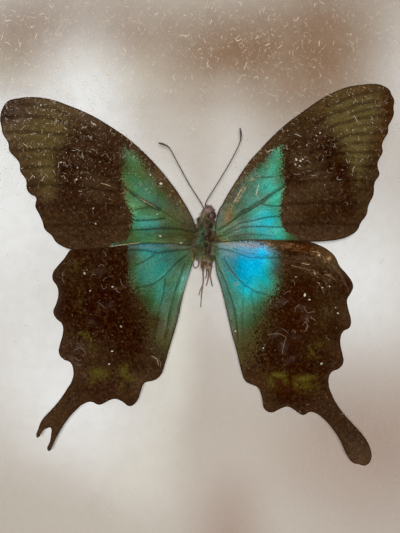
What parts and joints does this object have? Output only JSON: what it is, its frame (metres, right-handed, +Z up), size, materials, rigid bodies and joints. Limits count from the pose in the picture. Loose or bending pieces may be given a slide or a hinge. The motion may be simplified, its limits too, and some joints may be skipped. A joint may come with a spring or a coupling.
{
  "type": "mounted swallowtail butterfly in glazed case",
  "caption": "Spread swallowtail butterfly with scalloped, tailed wings, pinned over a pale board in a flat wooden case under a glass pane.",
  "frame": {"origin": "middle of the case's underside, where it rests", "axes": "+Z up through the glass, +Y from the butterfly's tails towards its head, +X towards its right wings"},
  "size_m": [0.144, 0.176, 0.036],
  "materials": {
    "frame_wood": "dark stained, satin",
    "base_board": "bare hardboard",
    "pinning_paper": "warm white paper, finely mottled",
    "case_glass": "clear, dusty",
    "forewing": "scaled, brown-black with a green-blue patch",
    "hindwing": "scaled, brown-black with a blue-green patch",
    "thorax": "furry, olive brown",
    "head": "furry, with dark glossy eyes",
    "feeler": "matt black-brown",
    "leg": "dry, dark brown",
    "pin_steel": "dull"
  },
  "bodies": {
    "root": {"rail_front": "frame_wood", "rail_back": "frame_wood", "rail_left": "frame_wood", "rail_right": "frame_wood", "base_panel": "base_board", "pinning_board": "pinning_paper", "glass_pane": "case_glass", "forewing_left": "forewing", "forewing_right": "forewing", "hindwing_left": "hindwing", "hindwing_right": "hindwing", "thorax": "thorax", "head": "head", "antenna_left": "feeler", "antenna_right": "feeler", "foreleg_left": "leg", "foreleg_right": "leg", "midleg_left": "leg", "midleg_right": "leg", "hindleg_left": "leg", "hindleg_right": "leg", "pin": "pin_steel"}
  },
  "joints": []
}
